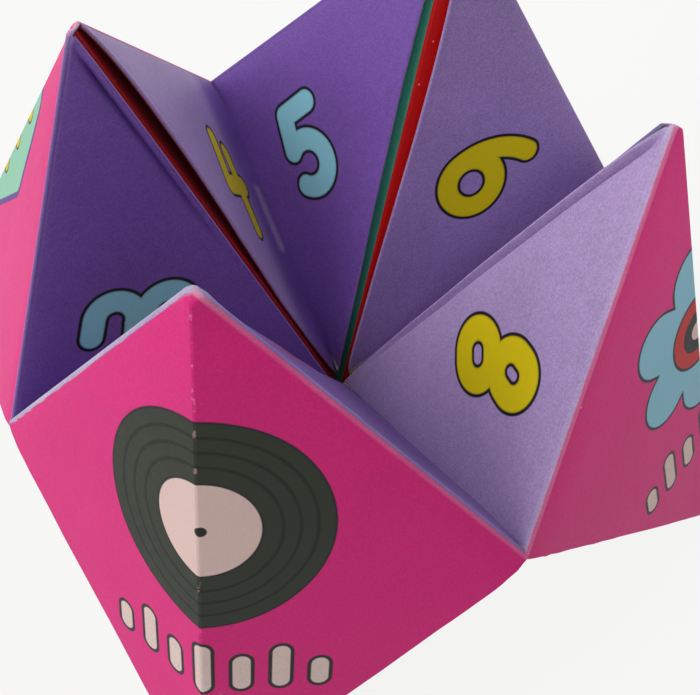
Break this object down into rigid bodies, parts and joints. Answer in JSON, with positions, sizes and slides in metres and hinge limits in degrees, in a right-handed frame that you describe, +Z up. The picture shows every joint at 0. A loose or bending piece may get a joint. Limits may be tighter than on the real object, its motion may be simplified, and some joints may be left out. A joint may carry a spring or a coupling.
{
  "type": "paper fortune teller",
  "caption": "Square paper sheet folded twice to its centre and stood open: pointed pockets for the fingers round a bowl of numbered panels with flaps to lift.",
  "frame": {"origin": "on the table, under the middle of the sheet's outline", "axes": "+Z up out of the bowl; the four valleys lie near the X and Y axes, with the widest towards -Y"},
  "size_m": [0.0912, 0.091, 0.0659],
  "materials": {
    "printed_paper": "matt printed paper"
  },
  "bodies": {
    "root": {"folded_sheet": "printed_paper"}
  },
  "joints": []
}
